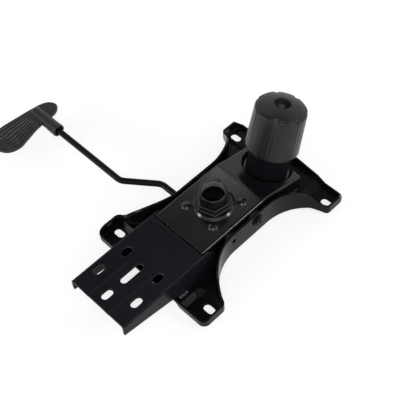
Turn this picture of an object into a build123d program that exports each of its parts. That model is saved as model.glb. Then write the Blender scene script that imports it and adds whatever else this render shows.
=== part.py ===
from build123d import *
from math import atan2, cos, radians, sin, sqrt, tan
import os

# Rocking seat mechanism of an office chair, lying seat side down with its tension knob up.
# Millimetres. +X is right, +Y is the front (knob end), +Z is away from the seat.
# The origin is the centre of the four seat slots, on the face that meets the seat.

# Seat slots: six by eight inches between centres
SEAT_SLOT_DX = 152.4
SEAT_SLOT_DY = 203.2
SEAT_SLOT_WIDTH = 9.5
SEAT_SLOT_LENGTH = 15.0

# Pressed steel and the play of its moving fits
SHEET = 2.5
RUNNING = 0.05
PLAY = 0.35

# Cutters run past the faces that they cut by PAST, and through one sheet by THROUGH
PAST = 1.0
THROUGH = 10.0
NEAR = 0.01

# Seat plate: a butterfly pan with upturned flanges
FRONT_LOBE_X = 89.0
REAR_LOBE_X = 91.0
WAIST_X = 46.5
FRONT_Y = 120.5
REAR_Y = -124.5
WAIST_STRAIGHT_Y = 28.0
WAIST_ARC_R = 65.3
LOBE_INNER_CORNER_R = 7.0
LOBE_OUTER_CORNER_R = 9.0
FLOOR_Z = 6.0
PAN_BEND_R = 4.5
FLANGE_TOP_WAIST = 43.0
FLANGE_TOP_CURVE = [(45.0, 43.0), (68.5, 37.8), (83.0, 23.6), (93.0, 16.0)]
FLANGE_TOP_LOBE_END_Y = 111.0
FLANGE_TOP_FRONT = 7.5
FLANGE_TOP_REAR = 13.0
FRONT_CREST = [(58.0, 7.5), (46.0, 13.0), (12.0, 18.0)]
FRONT_CREST_DEPTH = 9.0
PAD_INNER_X = 54.9
PAD_INNER_Y = 93.9
PAD_REACH = 60.0
PAD_CORNER_R = 5.0
FRONT_RAMP_ANGLE = 60.0
REAR_RAMP_ANGLE = 45.0
CENTRE_HOLE_R = 21.0
ROD_HOLE_R = 3.25

# Main pivot and lever rod: both run along X
PIVOT_Y = 11.0
PIVOT_Z = 31.0
PIN_R = 5.0
PIN_HEAD_R = 8.0
PIN_HEAD_THICK = 3.0
PIVOT_BUSH_R = 7.0
PIVOT_BUSH_FLANGE_R = 9.5
PIVOT_BUSH_FLANGE_X = 43.6
BUSH_INNER_X = 33.0
TILT_MAX = 12.0
ROD_Y = -29.0
ROD_Z = 31.0
ROD_R = 4.0
ROD_BUSH_R = 6.0
ROD_BUSH_FLANGE_R = 8.0
ROD_BUSH_FLANGE_X = 41.0
ROD_WINDOW_PLAY = 1.5

# Back bracket: a channel welded to the rear of the seat plate
BRACKET_HALF_X = 43.5
BRACKET_REAR_Y = -197.5
BRACKET_WEB_FRONT_Y = -75.0
BRACKET_EAR_FRONT_Y = -57.0
TOP_Z = 46.0
BRACKET_REAR_EDGE_Z = 28.2
BRACKET_BREAK_Y = -161.0
BRACKET_BREAK_Z = 21.9
BRACKET_FOOT_Y = -118.0
BRACKET_FOOT_STEP_Z = 13.6
BRACKET_EAR_Z = 36.0
BRACKET_BEND_R = 3.5
BACK_SLOTS = [(31.0, -166.6), (26.0, -129.5)]
BACK_SLOT_WIDTH = 9.0
BACK_SLOT_LENGTH = 15.0
CENTRE_SLOTS = [(-181.9, 15.0), (-145.0, 32.0)]
BEAD_X = 17.0
BEAD_DEPTH = 0.8
BEAD_R = 10.0
BEAD_FRONT_Y = -136.0
WELD_R = 6.0
WELD_PITCH = 2.25
WELD_COUNT = 3
WELD_REAR_Y = -113.5

# Base housing: an inverted box with a sloped front
HOUSING_HALF_X = 39.5
HOUSING_REAR_Y = -73.0
HOUSING_FRONT_Y = 96.0
SLOPE_START_Y = 31.0
LEAN = 15.5
HOUSING_EDGE_R = 3.0
HOUSING_BEND_R = 30.0
HOUSING_FRONT_LOW_Z = 10.8
HOUSING_LOW_Y = 26.0
HOUSING_LOW_Z = 12.3
HOUSING_REAR_LOW_Z = 29.5
DOUBLER_HALF_X = 24.0
DOUBLER_REAR_Y = -60.0
DOUBLER_FRONT_Y = 27.0

# Gas-lift socket: 28 mm mouth, taper one in twenty, in an embossed ring and a stepped collar
SOCKET_Y = -14.3
SOCKET_TOP_Z = 71.0
SOCKET_LOW_Z = 38.0
SOCKET_BORE_R = 14.0
SOCKET_OUTER_R = 15.9
SOCKET_LAND = 8.0
SOCKET_LIP_R = 0.8
TAPER = 1.0 / 20.0
RING_BASE_R = 25.0
RING_TOP_R = 22.5
RING_HEIGHT = 2.5
COLLAR_LOW_R = 22.5
COLLAR_LOW_THICK = 3.0
COLLAR_HIGH_R = 20.0
COLLAR_HIGH_THICK = 5.0
COLLAR_CHAMFER = 0.8
COLLAR_TURN = 18.0
DIMPLE_DX = 22.0
DIMPLE_DY = 24.0
DIMPLE_BALL_R = 8.0
DIMPLE_CAP_FROM = 35.0
DIMPLE_RISE = 2.8

# Tension stack: heights along the leaning axis, from the bottom of the dish round the sleeve
STACK_FACE_Y = 77.9
DISH_DEPTH = 5.5
DISH_LOW_R = 28.5
DISH_HIGH_R = 32.5
SLEEVE_R = 26.0
SLEEVE_WALL = 2.3
SLEEVE_TOP = 44.5
SLEEVE_CORNER_R = 2.5
SEAT_WASHER_R = 21.5
SEAT_WASHER_THICK = 2.0
SPRING_MEAN_R = 17.5
SPRING_WIRE_R = 2.7
SPRING_TURNS = 7
BOLT_R = 4.0
BOLT_PLAY = 1.5
BOLT_END = 96.0
BALL_R = 7.5
BALL_Z = 9.4
THRUST_LOW = 80.5
THRUST_THICK = 2.5
THRUST_R = 21.5
KNOB_WASHER_LOW = 83.3
KNOB_WASHER_R = 11.0
NUT_LOW = 85.5
NUT_THICK = 6.5
NUT_FLATS = 13.0
KNOB_LOW = 36.5
KNOB_LOW_ROUND = 1.5
KNOB_CAVITY_TOP = 90.0
KNOB_RIM = 94.5
KNOB_RIM_ROUND = 3.5
KNOB_CROWN = 100.8
KNOB_R_LOW = 33.1
KNOB_R_TOP = 31.3
KNOB_BORE_R = 26.9
KNOB_HUB_R = 13.0
KNOB_HOLE_R = 10.0
KNOB_GROOVES = 7
KNOB_FIRST_GROOVE = 92.6
KNOB_GROOVE_R = 2.5
KNOB_GROOVE_FLOOR_LOW = 32.6
KNOB_GROOVE_FLOOR_RIM = 30.4
KNOB_NOTCH_R = 3.2
KNOB_NOTCH_LOW = (35.4, 87.5)
KNOB_NOTCH_HIGH = (27.6, 99.5)

# Boss in the seat plate that holds the ball of the tension bolt
BALL_BOSS_TOP = 17.0
BALL_BOSS_HALF_X = 21.0
BALL_BOSS_REAR = 52.0
BALL_BOSS_FRONT = 91.0
BALL_BOSS_DRAFT = 15.0
BALL_SLOT_HALF_X = 6.0
BALL_SLOT_REAR = 64.6
BALL_SLOT_FRONT = 81.0

# Lever: a bent rod with a flat paddle
LEVER_BEND_IN_X = -75.0
LEVER_BEND_OUT_X = -116.0
LEVER_OUT_Y = -60.0
LEVER_BEND_R = 16.0
LEVER_TIP_X = -270.0
ROD_END_X = 35.0
GRIP_BOSS_X = -233.0
GRIP_BOSS_R = 8.6
GRIP_BOSS_END_X = -284.0
GRIP_BOSS_END_R = 7.4
GRIP_BOSS_ROUND = 3.0
GRIP_Z = 29.0
GRIP_THICK = 7.0
GRIP_EDGE_R = 2.2
GRIP_OUTLINE = [(-270, -33), (-280, -36), (-286, -45), (-289, -60), (-291.5, -83), (-293.5, -108),
                (-290, -125), (-280, -134), (-266, -132.5), (-254.5, -124.5), (-250, -110), (-253.5, -94),
                (-258, -77), (-260, -60), (-262, -42)]

# Lock: a tongue that the rod pushes through a guide of the housing into a catch of the seat plate
TONGUE_Y0 = -49.0
TONGUE_Y1 = -41.0
TONGUE_Z0 = 22.0
TONGUE_Z1 = 26.0
TONGUE_X0 = 10.0
TONGUE_X1 = 25.5
SLIDER_X1 = 19.0
SLIDER_WEB_THICK = 2.5
SLIDER_R = 6.5
GUIDE_X = 21.0
GUIDE_REAR_Y = -52.0
GUIDE_FRONT_Y = -38.4
GUIDE_LOW_Z = 22.6
CATCH_X = 26.5
CATCH_THICK = 3.0
CATCH_REAR_Y = -54.0
CATCH_FRONT_Y = -37.0
CATCH_TOP_Z = 28.8
CATCH_FOOT_FRONT_Y = -34.0
CATCH_FOOT_Z = 17.5
CLIP_THICK = 1.2
CLIP_R = 6.2

# Gas-release arm on the rod, and rubber stops
ARM_X0 = -11.0
ARM_X1 = 3.0
ARM_HUB_R = 5.6
ARM_TIP_Y = -8.0
ARM_LOW_Z = 24.0
ARM_TOP_Z = 27.0
BUFFER_X0 = 34.0
BUFFER_X1 = 40.5
FRONT_BUFFER_Y = 84.0
FRONT_BUFFER_TOP = 10.7
REAR_BUFFER_Y = -58.0
REAR_BUFFER_TOP = 11.9
BUFFER_HALF_Y = 6.0
BUFFER_CORNER_R = 1.5

# Derived places
FLOOR_TOP = FLOOR_Z + SHEET
TOP_UNDER = TOP_Z - SHEET
DOUBLER_UNDER = TOP_UNDER - SHEET
SLOPE = tan(radians(LEAN))
STACK_AXIS = Vector(0, sin(radians(LEAN)), cos(radians(LEAN)))
STACK_FACE = Vector(0, STACK_FACE_Y, TOP_Z - (STACK_FACE_Y - SLOPE_START_Y) * SLOPE)
STACK_ORIGIN = STACK_FACE - STACK_AXIS * DISH_DEPTH
STACK_PLANE = Plane(origin=STACK_ORIGIN, x_dir=(1, 0, 0), z_dir=STACK_AXIS)
BALL_ALONG = (BALL_Z - STACK_ORIGIN.Z) / STACK_AXIS.Z
SPRING_LOW = SLEEVE_WALL + SEAT_WASHER_THICK


def save(node, shape):
    shape.label = node
    export_step(shape, f"parts/{node}.step")


def along_x(y, z, radius, x0, x1):
    length = x1 - x0
    middle = (x0 + x1) / 2
    return Pos(middle, y, z) * Rot(0, 90, 0) * Cylinder(radius, length)


def block(x0, x1, y0, y1, z0, z1):
    centre = Pos((x0 + x1) / 2, (y0 + y1) / 2, (z0 + z1) / 2)
    return centre * Box(x1 - x0, y1 - y0, z1 - z0)


def side_prism(points, half_x):
    """Extrudes a (y, z) outline to both sides of the middle plane."""
    outline = Plane.YZ * make_face(Polyline(*points, close=True))
    return extrude(outline, amount=half_x, both=True)


def slot_cutter(x, y, length, width, along_y, z0, z1):
    turn = 90 if along_y else 0
    shape = Pos(x, y, z0) * Rot(0, 0, turn) * SlotOverall(length, width)
    return extrude(shape, amount=z1 - z0)


def on_stack(shape):
    return STACK_PLANE.location * shape


def turned(points):
    """Revolves a closed (radius, height) outline about the stack axis."""
    return revolve(Plane.XZ * make_face(Polyline(*points, close=True)), Axis.Z)


# Seat plate
def waist_arc(lobe_x, side_y):
    """Concave arc from the straight waist to a lobe: its start, middle and end."""
    arc_x = WAIST_X + WAIST_ARC_R
    meet = WAIST_STRAIGHT_Y + sqrt(WAIST_ARC_R**2 - (arc_x - lobe_x) ** 2)
    half_turn = atan2(meet - WAIST_STRAIGHT_Y, arc_x - lobe_x) / 2
    middle_x = arc_x - WAIST_ARC_R * cos(half_turn)
    middle_y = WAIST_STRAIGHT_Y + WAIST_ARC_R * sin(half_turn)
    return (WAIST_X, side_y * WAIST_STRAIGHT_Y), (middle_x, side_y * middle_y), (lobe_x, side_y * meet)


def plate_outline():
    front = waist_arc(FRONT_LOBE_X, 1)
    rear = waist_arc(REAR_LOBE_X, -1)
    with BuildSketch() as sketch:
        with BuildLine():
            Polyline((0, REAR_Y), (REAR_LOBE_X, REAR_Y), rear[2])
            ThreePointArc(rear[2], rear[1], rear[0])
            Line(rear[0], front[0])
            ThreePointArc(*front)
            Polyline(front[2], (FRONT_LOBE_X, FRONT_Y), (0, FRONT_Y))
            mirror(about=Plane.YZ)
        make_face()
        corners = [v for v in sketch.vertices() if abs(v.X) > FRONT_LOBE_X - NEAR]
        outer = [v for v in corners if v.Y < REAR_Y + NEAR or v.Y > FRONT_Y - NEAR]
        inner = [v for v in corners if REAR_Y + NEAR < v.Y < FRONT_Y - NEAR]
        fillet(outer, LOBE_OUTER_CORNER_R)
        inner_y = [v.Y for v in inner]
        inner = [v for v in sketch.vertices() if min(abs(v.Y - y) for y in inner_y) < NEAR]
        fillet(inner, LOBE_INNER_CORNER_R)
    return sketch.sketch


def pan_prism(outline, bottom, bend):
    solid = extrude(Pos(0, 0, bottom) * outline, amount=FLANGE_TOP_WAIST + SHEET - bottom)
    return fillet(solid.faces().sort_by(Axis.Z)[0].edges(), bend)


def pads(sheet, height):
    """Tapered blocks over the four lobes, grown by their ramps; sheet moves the ramps to its other side."""
    solids = []
    for sy, angle in ((1, FRONT_RAMP_ANGLE), (-1, REAR_RAMP_ANGLE)):
        step = sheet * (1 - sin(radians(angle))) / cos(radians(angle))
        y = sy * (PAD_INNER_Y + step + PAD_REACH / 2)
        for sx in (-1, 1):
            x = sx * (PAD_INNER_X + step + PAD_REACH / 2)
            base = Pos(x, y, sheet) * RectangleRounded(PAD_REACH, PAD_REACH, PAD_CORNER_R)
            solids.append(extrude(base, amount=height, taper=-angle))
    return solids


def pan_volume(outline, bend, sheet):
    raised = pan_prism(outline, FLOOR_Z + sheet, bend)
    low = pan_prism(outline, sheet, bend)
    volume = raised
    for pad in pads(sheet, FLOOR_Z + PAN_BEND_R + SHEET):
        volume = volume + (low & pad)
    return volume


def flange_envelope():
    """Everything below the top line of the flanges, seen from the side, with a crest at the front."""
    curve_end = FLANGE_TOP_CURVE[-1]
    front_end = FRONT_Y - SHEET / 2
    with BuildSketch(Plane.YZ) as side:
        with BuildLine():
            Spline(*FLANGE_TOP_CURVE, tangents=[(1, 0), (1, 0)])
            Polyline(curve_end, (FLANGE_TOP_LOBE_END_Y, curve_end[1]), (front_end, FLANGE_TOP_FRONT),
                     (FRONT_Y + PAST, FLANGE_TOP_FRONT), (FRONT_Y + PAST, -PAST), (REAR_Y - PAST, -PAST),
                     (REAR_Y - PAST, FLANGE_TOP_REAR), (REAR_Y + SHEET, FLANGE_TOP_REAR),
                     (-FLANGE_TOP_LOBE_END_Y, curve_end[1]), (-curve_end[0], curve_end[1]))
            Spline(*[(-y, z) for y, z in FLANGE_TOP_CURVE], tangents=[(-1, 0), (-1, 0)])
            Line((-FLANGE_TOP_CURVE[0][0], FLANGE_TOP_WAIST), FLANGE_TOP_CURVE[0])
        make_face()
    envelope = extrude(side.sketch, amount=REAR_LOBE_X + PAST, both=True)
    crest = FRONT_CREST + [(-x, z) for x, z in reversed(FRONT_CREST)]
    foot_x = FRONT_CREST[0][0]
    crest = Plane.XZ * make_face(Polyline((-foot_x, 0), (foot_x, 0), *crest, close=True))
    return envelope + Pos(0, FRONT_Y + PAST, 0) * extrude(crest, amount=FRONT_CREST_DEPTH + PAST)


def ball_boss():
    """Raised box over the ball of the tension bolt, hollow from below."""
    length = BALL_BOSS_FRONT - BALL_BOSS_REAR
    middle = (BALL_BOSS_FRONT + BALL_BOSS_REAR) / 2
    height = BALL_BOSS_TOP - FLOOR_Z
    outer = Pos(0, middle, FLOOR_Z) * Rectangle(2 * BALL_BOSS_HALF_X, length)
    outer = extrude(outer, amount=height, taper=BALL_BOSS_DRAFT)
    inner = Pos(0, middle, FLOOR_Z - SHEET) * Rectangle(2 * (BALL_BOSS_HALF_X - SHEET), length - 2 * SHEET)
    return outer, extrude(inner, amount=height, taper=BALL_BOSS_DRAFT)


def rod_window():
    """Window in the left flange, where the lever rod rides up and down with the housing."""
    drop_y = PIVOT_Y + (ROD_Y - PIVOT_Y) * cos(radians(TILT_MAX))
    drop_z = PIVOT_Z + (ROD_Y - PIVOT_Y) * sin(radians(TILT_MAX))
    clear = ROD_R + ROD_WINDOW_PLAY
    low = along_x(drop_y, drop_z, clear, -REAR_LOBE_X, -BRACKET_HALF_X)
    high = along_x(ROD_Y, ROD_Z, clear, -REAR_LOBE_X, -BRACKET_HALF_X)
    middle = block(-REAR_LOBE_X, -BRACKET_HALF_X, ROD_Y - clear, drop_y + clear, drop_z, ROD_Z)
    return low + high + middle


def seat_plate():
    outline = plate_outline()
    inside = offset(outline, amount=-SHEET, kind=Kind.INTERSECTION)
    pan = pan_volume(outline, PAN_BEND_R, 0)
    hollow = pan_volume(inside, PAN_BEND_R - SHEET, SHEET)
    pan = (pan - hollow) & flange_envelope()
    boss, boss_hollow = ball_boss()
    pan = pan + boss - boss_hollow
    ball_slot = slot_cutter(0, (BALL_SLOT_REAR + BALL_SLOT_FRONT) / 2, BALL_SLOT_FRONT - BALL_SLOT_REAR,
                            2 * BALL_SLOT_HALF_X, True, FLOOR_Z, BALL_BOSS_TOP + PAST)
    pan = pan - ball_slot
    for sx in (-1, 1):
        for sy in (-1, 1):
            pan = pan - slot_cutter(sx * SEAT_SLOT_DX / 2, sy * SEAT_SLOT_DY / 2,
                                    SEAT_SLOT_LENGTH, SEAT_SLOT_WIDTH, False, -PAST, SHEET + PAST)
    pan = pan - along_x(PIVOT_Y, PIVOT_Z, PIN_R, -REAR_LOBE_X, REAR_LOBE_X)
    pan = pan - along_x(ROD_Y, ROD_Z, ROD_HOLE_R, BRACKET_HALF_X, REAR_LOBE_X)
    pan = pan - rod_window()
    pan = pan - Pos(0, SOCKET_Y, FLOOR_Z) * Cylinder(CENTRE_HOLE_R, THROUGH)
    return pan


# Back bracket, with its welds
def stiffening_bead(side, grow):
    """Shallow round groove with a ball end, pressed along the web; grow gives the sheet's lower side."""
    length = BEAD_FRONT_Y - BRACKET_REAR_Y + PAST
    centre_z = TOP_Z - BEAD_DEPTH + BEAD_R
    end = Pos(side * BEAD_X, BEAD_FRONT_Y, centre_z)
    groove = Pos(0, -length / 2, 0) * Rot(90, 0, 0) * Cylinder(BEAD_R + grow, length)
    return end * (groove + Sphere(BEAD_R + grow))


def back_bracket():
    outer = block(-BRACKET_HALF_X, BRACKET_HALF_X, BRACKET_REAR_Y, BRACKET_EAR_FRONT_Y, 0, TOP_Z)
    outer = fillet(outer.faces().sort_by(Axis.Z)[-1].edges().filter_by(Axis.Y), BRACKET_BEND_R)
    inside_x = BRACKET_HALF_X - SHEET
    inner = block(-inside_x, inside_x, BRACKET_REAR_Y - PAST, BRACKET_EAR_FRONT_Y + PAST, 0, TOP_UNDER)
    inner = fillet(inner.faces().sort_by(Axis.Z)[-1].edges().filter_by(Axis.Y), BRACKET_BEND_R - SHEET)
    bracket = outer - inner
    under_web = block(-inside_x, inside_x, BRACKET_REAR_Y, BRACKET_EAR_FRONT_Y, 0, TOP_UNDER)
    for sx in (-1, 1):
        bracket = bracket + (stiffening_bead(sx, SHEET) & under_web) - stiffening_bead(sx, 0)
    bracket = bracket - block(-inside_x, inside_x, BRACKET_WEB_FRONT_Y, 0, 0, TOP_Z + PAST)
    ear_back = BRACKET_EAR_FRONT_Y - (TOP_Z - BRACKET_EAR_Z)
    side = [(BRACKET_REAR_Y, BRACKET_REAR_EDGE_Z), (BRACKET_BREAK_Y, BRACKET_BREAK_Z),
            (BRACKET_FOOT_Y, BRACKET_FOOT_STEP_Z), (BRACKET_FOOT_Y, FLOOR_TOP),
            (BRACKET_EAR_FRONT_Y, FLOOR_TOP), (BRACKET_EAR_FRONT_Y, BRACKET_EAR_Z),
            (ear_back, TOP_Z), (BRACKET_REAR_Y, TOP_Z)]
    bracket = bracket & side_prism(side, BRACKET_HALF_X)
    for x, y in BACK_SLOTS + [(-x, y) for x, y in BACK_SLOTS]:
        bracket = bracket - slot_cutter(x, y, BACK_SLOT_LENGTH, BACK_SLOT_WIDTH, True, BRACKET_EAR_Z,
                                        TOP_Z + PAST)
    for y, length in CENTRE_SLOTS:
        bracket = bracket - slot_cutter(0, y, length, BACK_SLOT_WIDTH, True, BRACKET_EAR_Z, TOP_Z + PAST)
    return bracket


def bracket_welds():
    """Two rows of overlapping beads in the corners between the bracket and the floor."""
    rows = []
    corner = block(-REAR_LOBE_X, REAR_LOBE_X, REAR_Y, 0, FLOOR_TOP, TOP_Z)
    corner = corner - block(-BRACKET_HALF_X, BRACKET_HALF_X, REAR_Y, 0, FLOOR_TOP, TOP_Z)
    for sx in (-1, 1):
        row = None
        for i in range(WELD_COUNT):
            bead = Pos(sx * BRACKET_HALF_X, WELD_REAR_Y + i * WELD_PITCH, FLOOR_TOP) * Sphere(WELD_R)
            row = bead if row is None else row + bead
        rows.append((row & corner).solids()[0])
    return Compound(rows)


# Base housing
def dish(drop, grow):
    """Truncated cone over the bottom of the dish; drop and grow give the sheet's other side."""
    slant = (DISH_HIGH_R - DISH_LOW_R) / DISH_DEPTH
    top = DISH_DEPTH + PAST
    low_r = DISH_LOW_R + grow
    high_r = DISH_LOW_R + grow + slant * (top + drop)
    return on_stack(turned([(0, -drop), (low_r, -drop), (high_r, top), (0, top)]))


def housing_side(inset):
    """Side outline of the box, or of its hollow with the sheet's thickness as inset."""
    front = HOUSING_FRONT_Y - inset
    top = TOP_Z - inset
    bend_y = SLOPE_START_Y - inset * tan(radians(LEAN / 2))
    front_z = top - (front - bend_y) * SLOPE
    return front, top, bend_y, front_z


def base_housing():
    front, top, bend_y, front_z = housing_side(0)
    outline = [(HOUSING_REAR_Y, top), (HOUSING_REAR_Y, HOUSING_REAR_LOW_Z), (HOUSING_LOW_Y, HOUSING_LOW_Z),
               (front, HOUSING_FRONT_LOW_Z), (front, front_z), (bend_y, top)]
    box = side_prism(outline, HOUSING_HALF_X)
    bend = [e for e in box.edges().filter_by(Axis.X) if abs(e.center().Y - bend_y) < NEAR]
    box = fillet([e for e in bend if e.center().Z > TOP_UNDER], HOUSING_BEND_R)
    rims = []
    for e in box.edges():
        at = e.center()
        along_side = abs(abs(at.X) - HOUSING_HALF_X) < NEAR and at.Z > front_z - NEAR
        at_front = abs(at.Y - front) < NEAR and at.Z > HOUSING_FRONT_LOW_Z + NEAR
        if (along_side and at.Y > HOUSING_REAR_Y + NEAR) or at_front:
            rims.append(e)
    box = fillet(rims, HOUSING_EDGE_R)
    front, top, bend_y, front_z = housing_side(SHEET)
    rear = HOUSING_REAR_Y - PAST
    outline = [(rear, 0), (front, 0), (front, front_z), (bend_y, top), (rear, top)]
    hollow = side_prism(outline, HOUSING_HALF_X - SHEET) - dish(SHEET, SHEET / 2)
    box = box - dish(0, 0) - hollow
    ring = Pos(0, SOCKET_Y, TOP_Z + RING_HEIGHT / 2) * Cone(RING_BASE_R, RING_TOP_R, RING_HEIGHT)
    box = box + ring
    dimple = Sphere(DIMPLE_BALL_R, arc_size1=DIMPLE_CAP_FROM, align=(Align.CENTER, Align.CENTER, Align.MAX))
    for sx in (-1, 1):
        for sy in (-1, 1):
            place = Pos(sx * DIMPLE_DX, SOCKET_Y + sy * DIMPLE_DY, TOP_Z + DIMPLE_RISE)
            box = box + place * dimple
    box = box - Pos(0, SOCKET_Y, TOP_Z) * Cylinder(SOCKET_OUTER_R, THROUGH)
    box = box - along_x(PIVOT_Y, PIVOT_Z, PIVOT_BUSH_R, -REAR_LOBE_X, REAR_LOBE_X)
    box = box - along_x(ROD_Y, ROD_Z, ROD_BUSH_R, -REAR_LOBE_X, REAR_LOBE_X)
    box = box - on_stack(Cylinder(BOLT_R + BOLT_PLAY, THROUGH))
    return box


def housing_doubler():
    plate = block(-DOUBLER_HALF_X, DOUBLER_HALF_X, DOUBLER_REAR_Y, DOUBLER_FRONT_Y, DOUBLER_UNDER, TOP_UNDER)
    plate = fillet(plate.edges().filter_by(Axis.Z), HOUSING_EDGE_R)
    return plate - Pos(0, SOCKET_Y, DOUBLER_UNDER) * Cylinder(SOCKET_OUTER_R, THROUGH)


# Gas-lift socket and collar
def taper_socket():
    land_z = SOCKET_TOP_Z - SOCKET_LAND
    low_r = SOCKET_BORE_R - (land_z - SOCKET_LOW_Z) * TAPER / 2
    outline = [(low_r, SOCKET_LOW_Z), (SOCKET_OUTER_R, SOCKET_LOW_Z), (SOCKET_OUTER_R, SOCKET_TOP_Z),
               (SOCKET_BORE_R, SOCKET_TOP_Z), (SOCKET_BORE_R, land_z)]
    tube = turned(outline)
    tube = fillet(tube.faces().sort_by(Axis.Z)[-1].edges(), SOCKET_LIP_R)
    return Pos(0, SOCKET_Y, 0) * tube


def socket_collar():
    base_z = TOP_Z + RING_HEIGHT
    low = extrude(Rot(0, 0, COLLAR_TURN) * RegularPolygon(COLLAR_LOW_R, 6), amount=COLLAR_LOW_THICK)
    high = extrude(Rot(0, 0, COLLAR_TURN) * RegularPolygon(COLLAR_HIGH_R, 6), amount=COLLAR_HIGH_THICK)
    low = chamfer(low.faces().sort_by(Axis.Z)[-1].edges(), COLLAR_CHAMFER)
    high = chamfer(high.faces().sort_by(Axis.Z)[-1].edges(), COLLAR_CHAMFER)
    collar = low + Pos(0, 0, COLLAR_LOW_THICK) * high
    collar = collar - Cylinder(SOCKET_OUTER_R, 2 * THROUGH)
    return Pos(0, SOCKET_Y, base_z) * collar


# Pivot pin and its bushes
def pivot_pin():
    pin = along_x(PIVOT_Y, PIVOT_Z, PIN_R, -WAIST_X, WAIST_X)
    for sx in (-1, 1):
        outer = sx * (WAIST_X + PIN_HEAD_THICK)
        step = sx * (WAIST_X + PIN_HEAD_THICK / 2)
        pin = pin + along_x(PIVOT_Y, PIVOT_Z, PIN_HEAD_R, min(sx * WAIST_X, step), max(sx * WAIST_X, step))
        pin = pin + along_x(PIVOT_Y, PIVOT_Z, PIN_R, min(step, outer), max(step, outer))
        pin = pin - along_x(PIVOT_Y, PIVOT_Z, PIN_R / 2, min(step, outer), max(step, outer))
    return pin


def flanged_bush(y, z, bore_r, outer_r, flange_r, flange_x, side):
    """A bush in the housing's side wall; its flange lies against the outside of the wall."""
    low, high = sorted((side * BUSH_INNER_X, side * HOUSING_HALF_X))
    bush = along_x(y, z, outer_r, low, high)
    low, high = sorted((side * HOUSING_HALF_X, side * flange_x))
    bush = bush + along_x(y, z, flange_r, low, high)
    return bush - along_x(y, z, bore_r, -REAR_LOBE_X, REAR_LOBE_X)


def pivot_bushes():
    size = (PIN_R + RUNNING, PIVOT_BUSH_R, PIVOT_BUSH_FLANGE_R, PIVOT_BUSH_FLANGE_X)
    return Compound([flanged_bush(PIVOT_Y, PIVOT_Z, *size, side) for side in (-1, 1)])


def lever_bushes():
    size = (ROD_R + RUNNING, ROD_BUSH_R, ROD_BUSH_FLANGE_R, ROD_BUSH_FLANGE_X)
    return Compound([flanged_bush(ROD_Y, ROD_Z, *size, side) for side in (-1, 1)])


# Tension stack
def spring_sleeve():
    cup = turned([(BOLT_R + BOLT_PLAY, 0), (SLEEVE_R, 0), (SLEEVE_R, SLEEVE_TOP),
                  (SLEEVE_R - SLEEVE_WALL, SLEEVE_TOP), (SLEEVE_R - SLEEVE_WALL, SLEEVE_WALL),
                  (BOLT_R + BOLT_PLAY, SLEEVE_WALL)])
    rims = [e for e in cup.edges().filter_by(GeomType.CIRCLE) if e.radius > SLEEVE_R - NEAR]
    foot = min(rims, key=lambda e: e.center().Z)
    return on_stack(fillet(foot, SLEEVE_CORNER_R))


def washer(outer_r, bore_r, low, thick):
    ring = Cylinder(outer_r, thick) - Cylinder(bore_r, 2 * thick)
    return on_stack(Pos(0, 0, low + thick / 2) * ring)


def compression_spring():
    height = THRUST_LOW - SPRING_LOW - 2 * SPRING_WIRE_R
    path = Helix(pitch=height / SPRING_TURNS, height=height, radius=SPRING_MEAN_R)
    wire = sweep(Plane(origin=path @ 0, z_dir=path % 0) * Circle(SPRING_WIRE_R), path=path, is_frenet=True)
    return on_stack(Pos(0, 0, SPRING_LOW + SPRING_WIRE_R) * wire)


def nut_prism():
    hexagon = RegularPolygon(NUT_FLATS / 2, 6, major_radius=False)
    return extrude(Pos(0, 0, NUT_LOW) * hexagon, amount=NUT_THICK)


def slanting_rod(low, high, radius):
    """Round cutter through two (radius, height) points, running past both."""
    low = Vector(low[0], 0, low[1])
    high = Vector(high[0], 0, high[1])
    run = high - low
    start = low - run.normalized() * THROUGH
    return extrude(Plane(origin=start, z_dir=run) * Circle(radius), amount=run.length + 2 * THROUGH)


def knob_groove():
    """Faint groove down the side, and the notch that it ends in at the rim."""
    low = (KNOB_GROOVE_FLOOR_LOW + KNOB_GROOVE_R, KNOB_LOW)
    high = (KNOB_GROOVE_FLOOR_RIM + KNOB_GROOVE_R, KNOB_RIM)
    groove = slanting_rod(low, high, KNOB_GROOVE_R)
    return groove + slanting_rod(KNOB_NOTCH_LOW, KNOB_NOTCH_HIGH, KNOB_NOTCH_R)


def knob_body():
    """Turned body with a domed top, rounded at its rim and at its lower edge."""
    with BuildSketch() as half:
        with BuildLine():
            Polyline((0, KNOB_CROWN), (0, KNOB_LOW), (KNOB_R_LOW, KNOB_LOW), (KNOB_R_TOP, KNOB_RIM))
            TangentArc((0, KNOB_CROWN), (KNOB_R_TOP, KNOB_RIM), tangent=(1, 0))
        make_face()
        low, rim = [v for v in half.vertices().sort_by(Axis.Y) if v.X > KNOB_R_TOP - NEAR]
        fillet(low, KNOB_LOW_ROUND)
        fillet(rim, KNOB_RIM_ROUND)
    return revolve(Plane.XZ * half.sketch, Axis.Z)


def knob():
    outer = knob_body()
    groove = knob_groove()
    for i in range(KNOB_GROOVES):
        outer = outer - Rot(0, 0, KNOB_FIRST_GROOVE + i * 360 / KNOB_GROOVES) * groove
    cavity = turned([(0, KNOB_LOW - PAST), (KNOB_BORE_R, KNOB_LOW - PAST), (KNOB_BORE_R, KNOB_CAVITY_TOP),
                     (KNOB_HUB_R, KNOB_CAVITY_TOP), (KNOB_HUB_R, NUT_LOW), (0, NUT_LOW)])
    hole = Pos(0, 0, NUT_LOW + NUT_THICK) * extrude(Circle(KNOB_HOLE_R), amount=THROUGH)
    return on_stack(outer - cavity - nut_prism() - hole)


def knob_nut():
    bore = Pos(0, 0, NUT_LOW) * Cylinder(BOLT_R + RUNNING, 2 * THROUGH)
    return on_stack(nut_prism() - bore)


def tension_bolt():
    length = BOLT_END - BALL_ALONG
    shaft = Pos(0, 0, BALL_ALONG + length / 2) * Cylinder(BOLT_R, length)
    ball = Pos(0, 0, BALL_ALONG) * Sphere(BALL_R)
    return on_stack(shaft + ball)


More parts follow.
